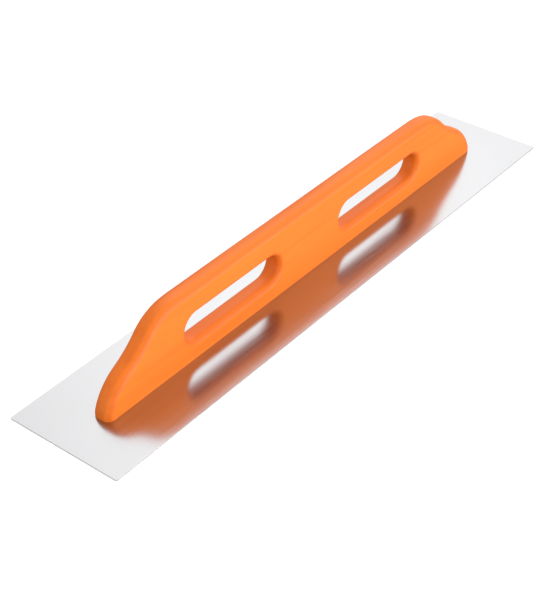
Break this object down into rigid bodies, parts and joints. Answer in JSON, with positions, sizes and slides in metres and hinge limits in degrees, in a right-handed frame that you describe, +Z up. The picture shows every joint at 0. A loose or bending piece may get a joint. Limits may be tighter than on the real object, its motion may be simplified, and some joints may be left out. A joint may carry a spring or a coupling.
{
  "type": "finishing trowel",
  "caption": "Long stainless finishing trowel for plaster and filler: a thin flat rectangular blade with a full-length wooden board handle that has hand slots for both hands.",
  "frame": {"origin": "middle of the blade's sole, the flat face that slides on the wall", "axes": "+X along the blade's length, +Y across its width, +Z up through the handle"},
  "size_m": [0.68, 0.13, 0.0787],
  "materials": {
    "blade_steel": "satin rolled stainless sheet",
    "handle_lacquer": "satin orange lacquer over fine-grained wood",
    "screw_steel": "plain stainless"
  },
  "bodies": {
    "root": {"blade": "blade_steel", "handle": "handle_lacquer", "blade_screws": "screw_steel"}
  },
  "joints": []
}
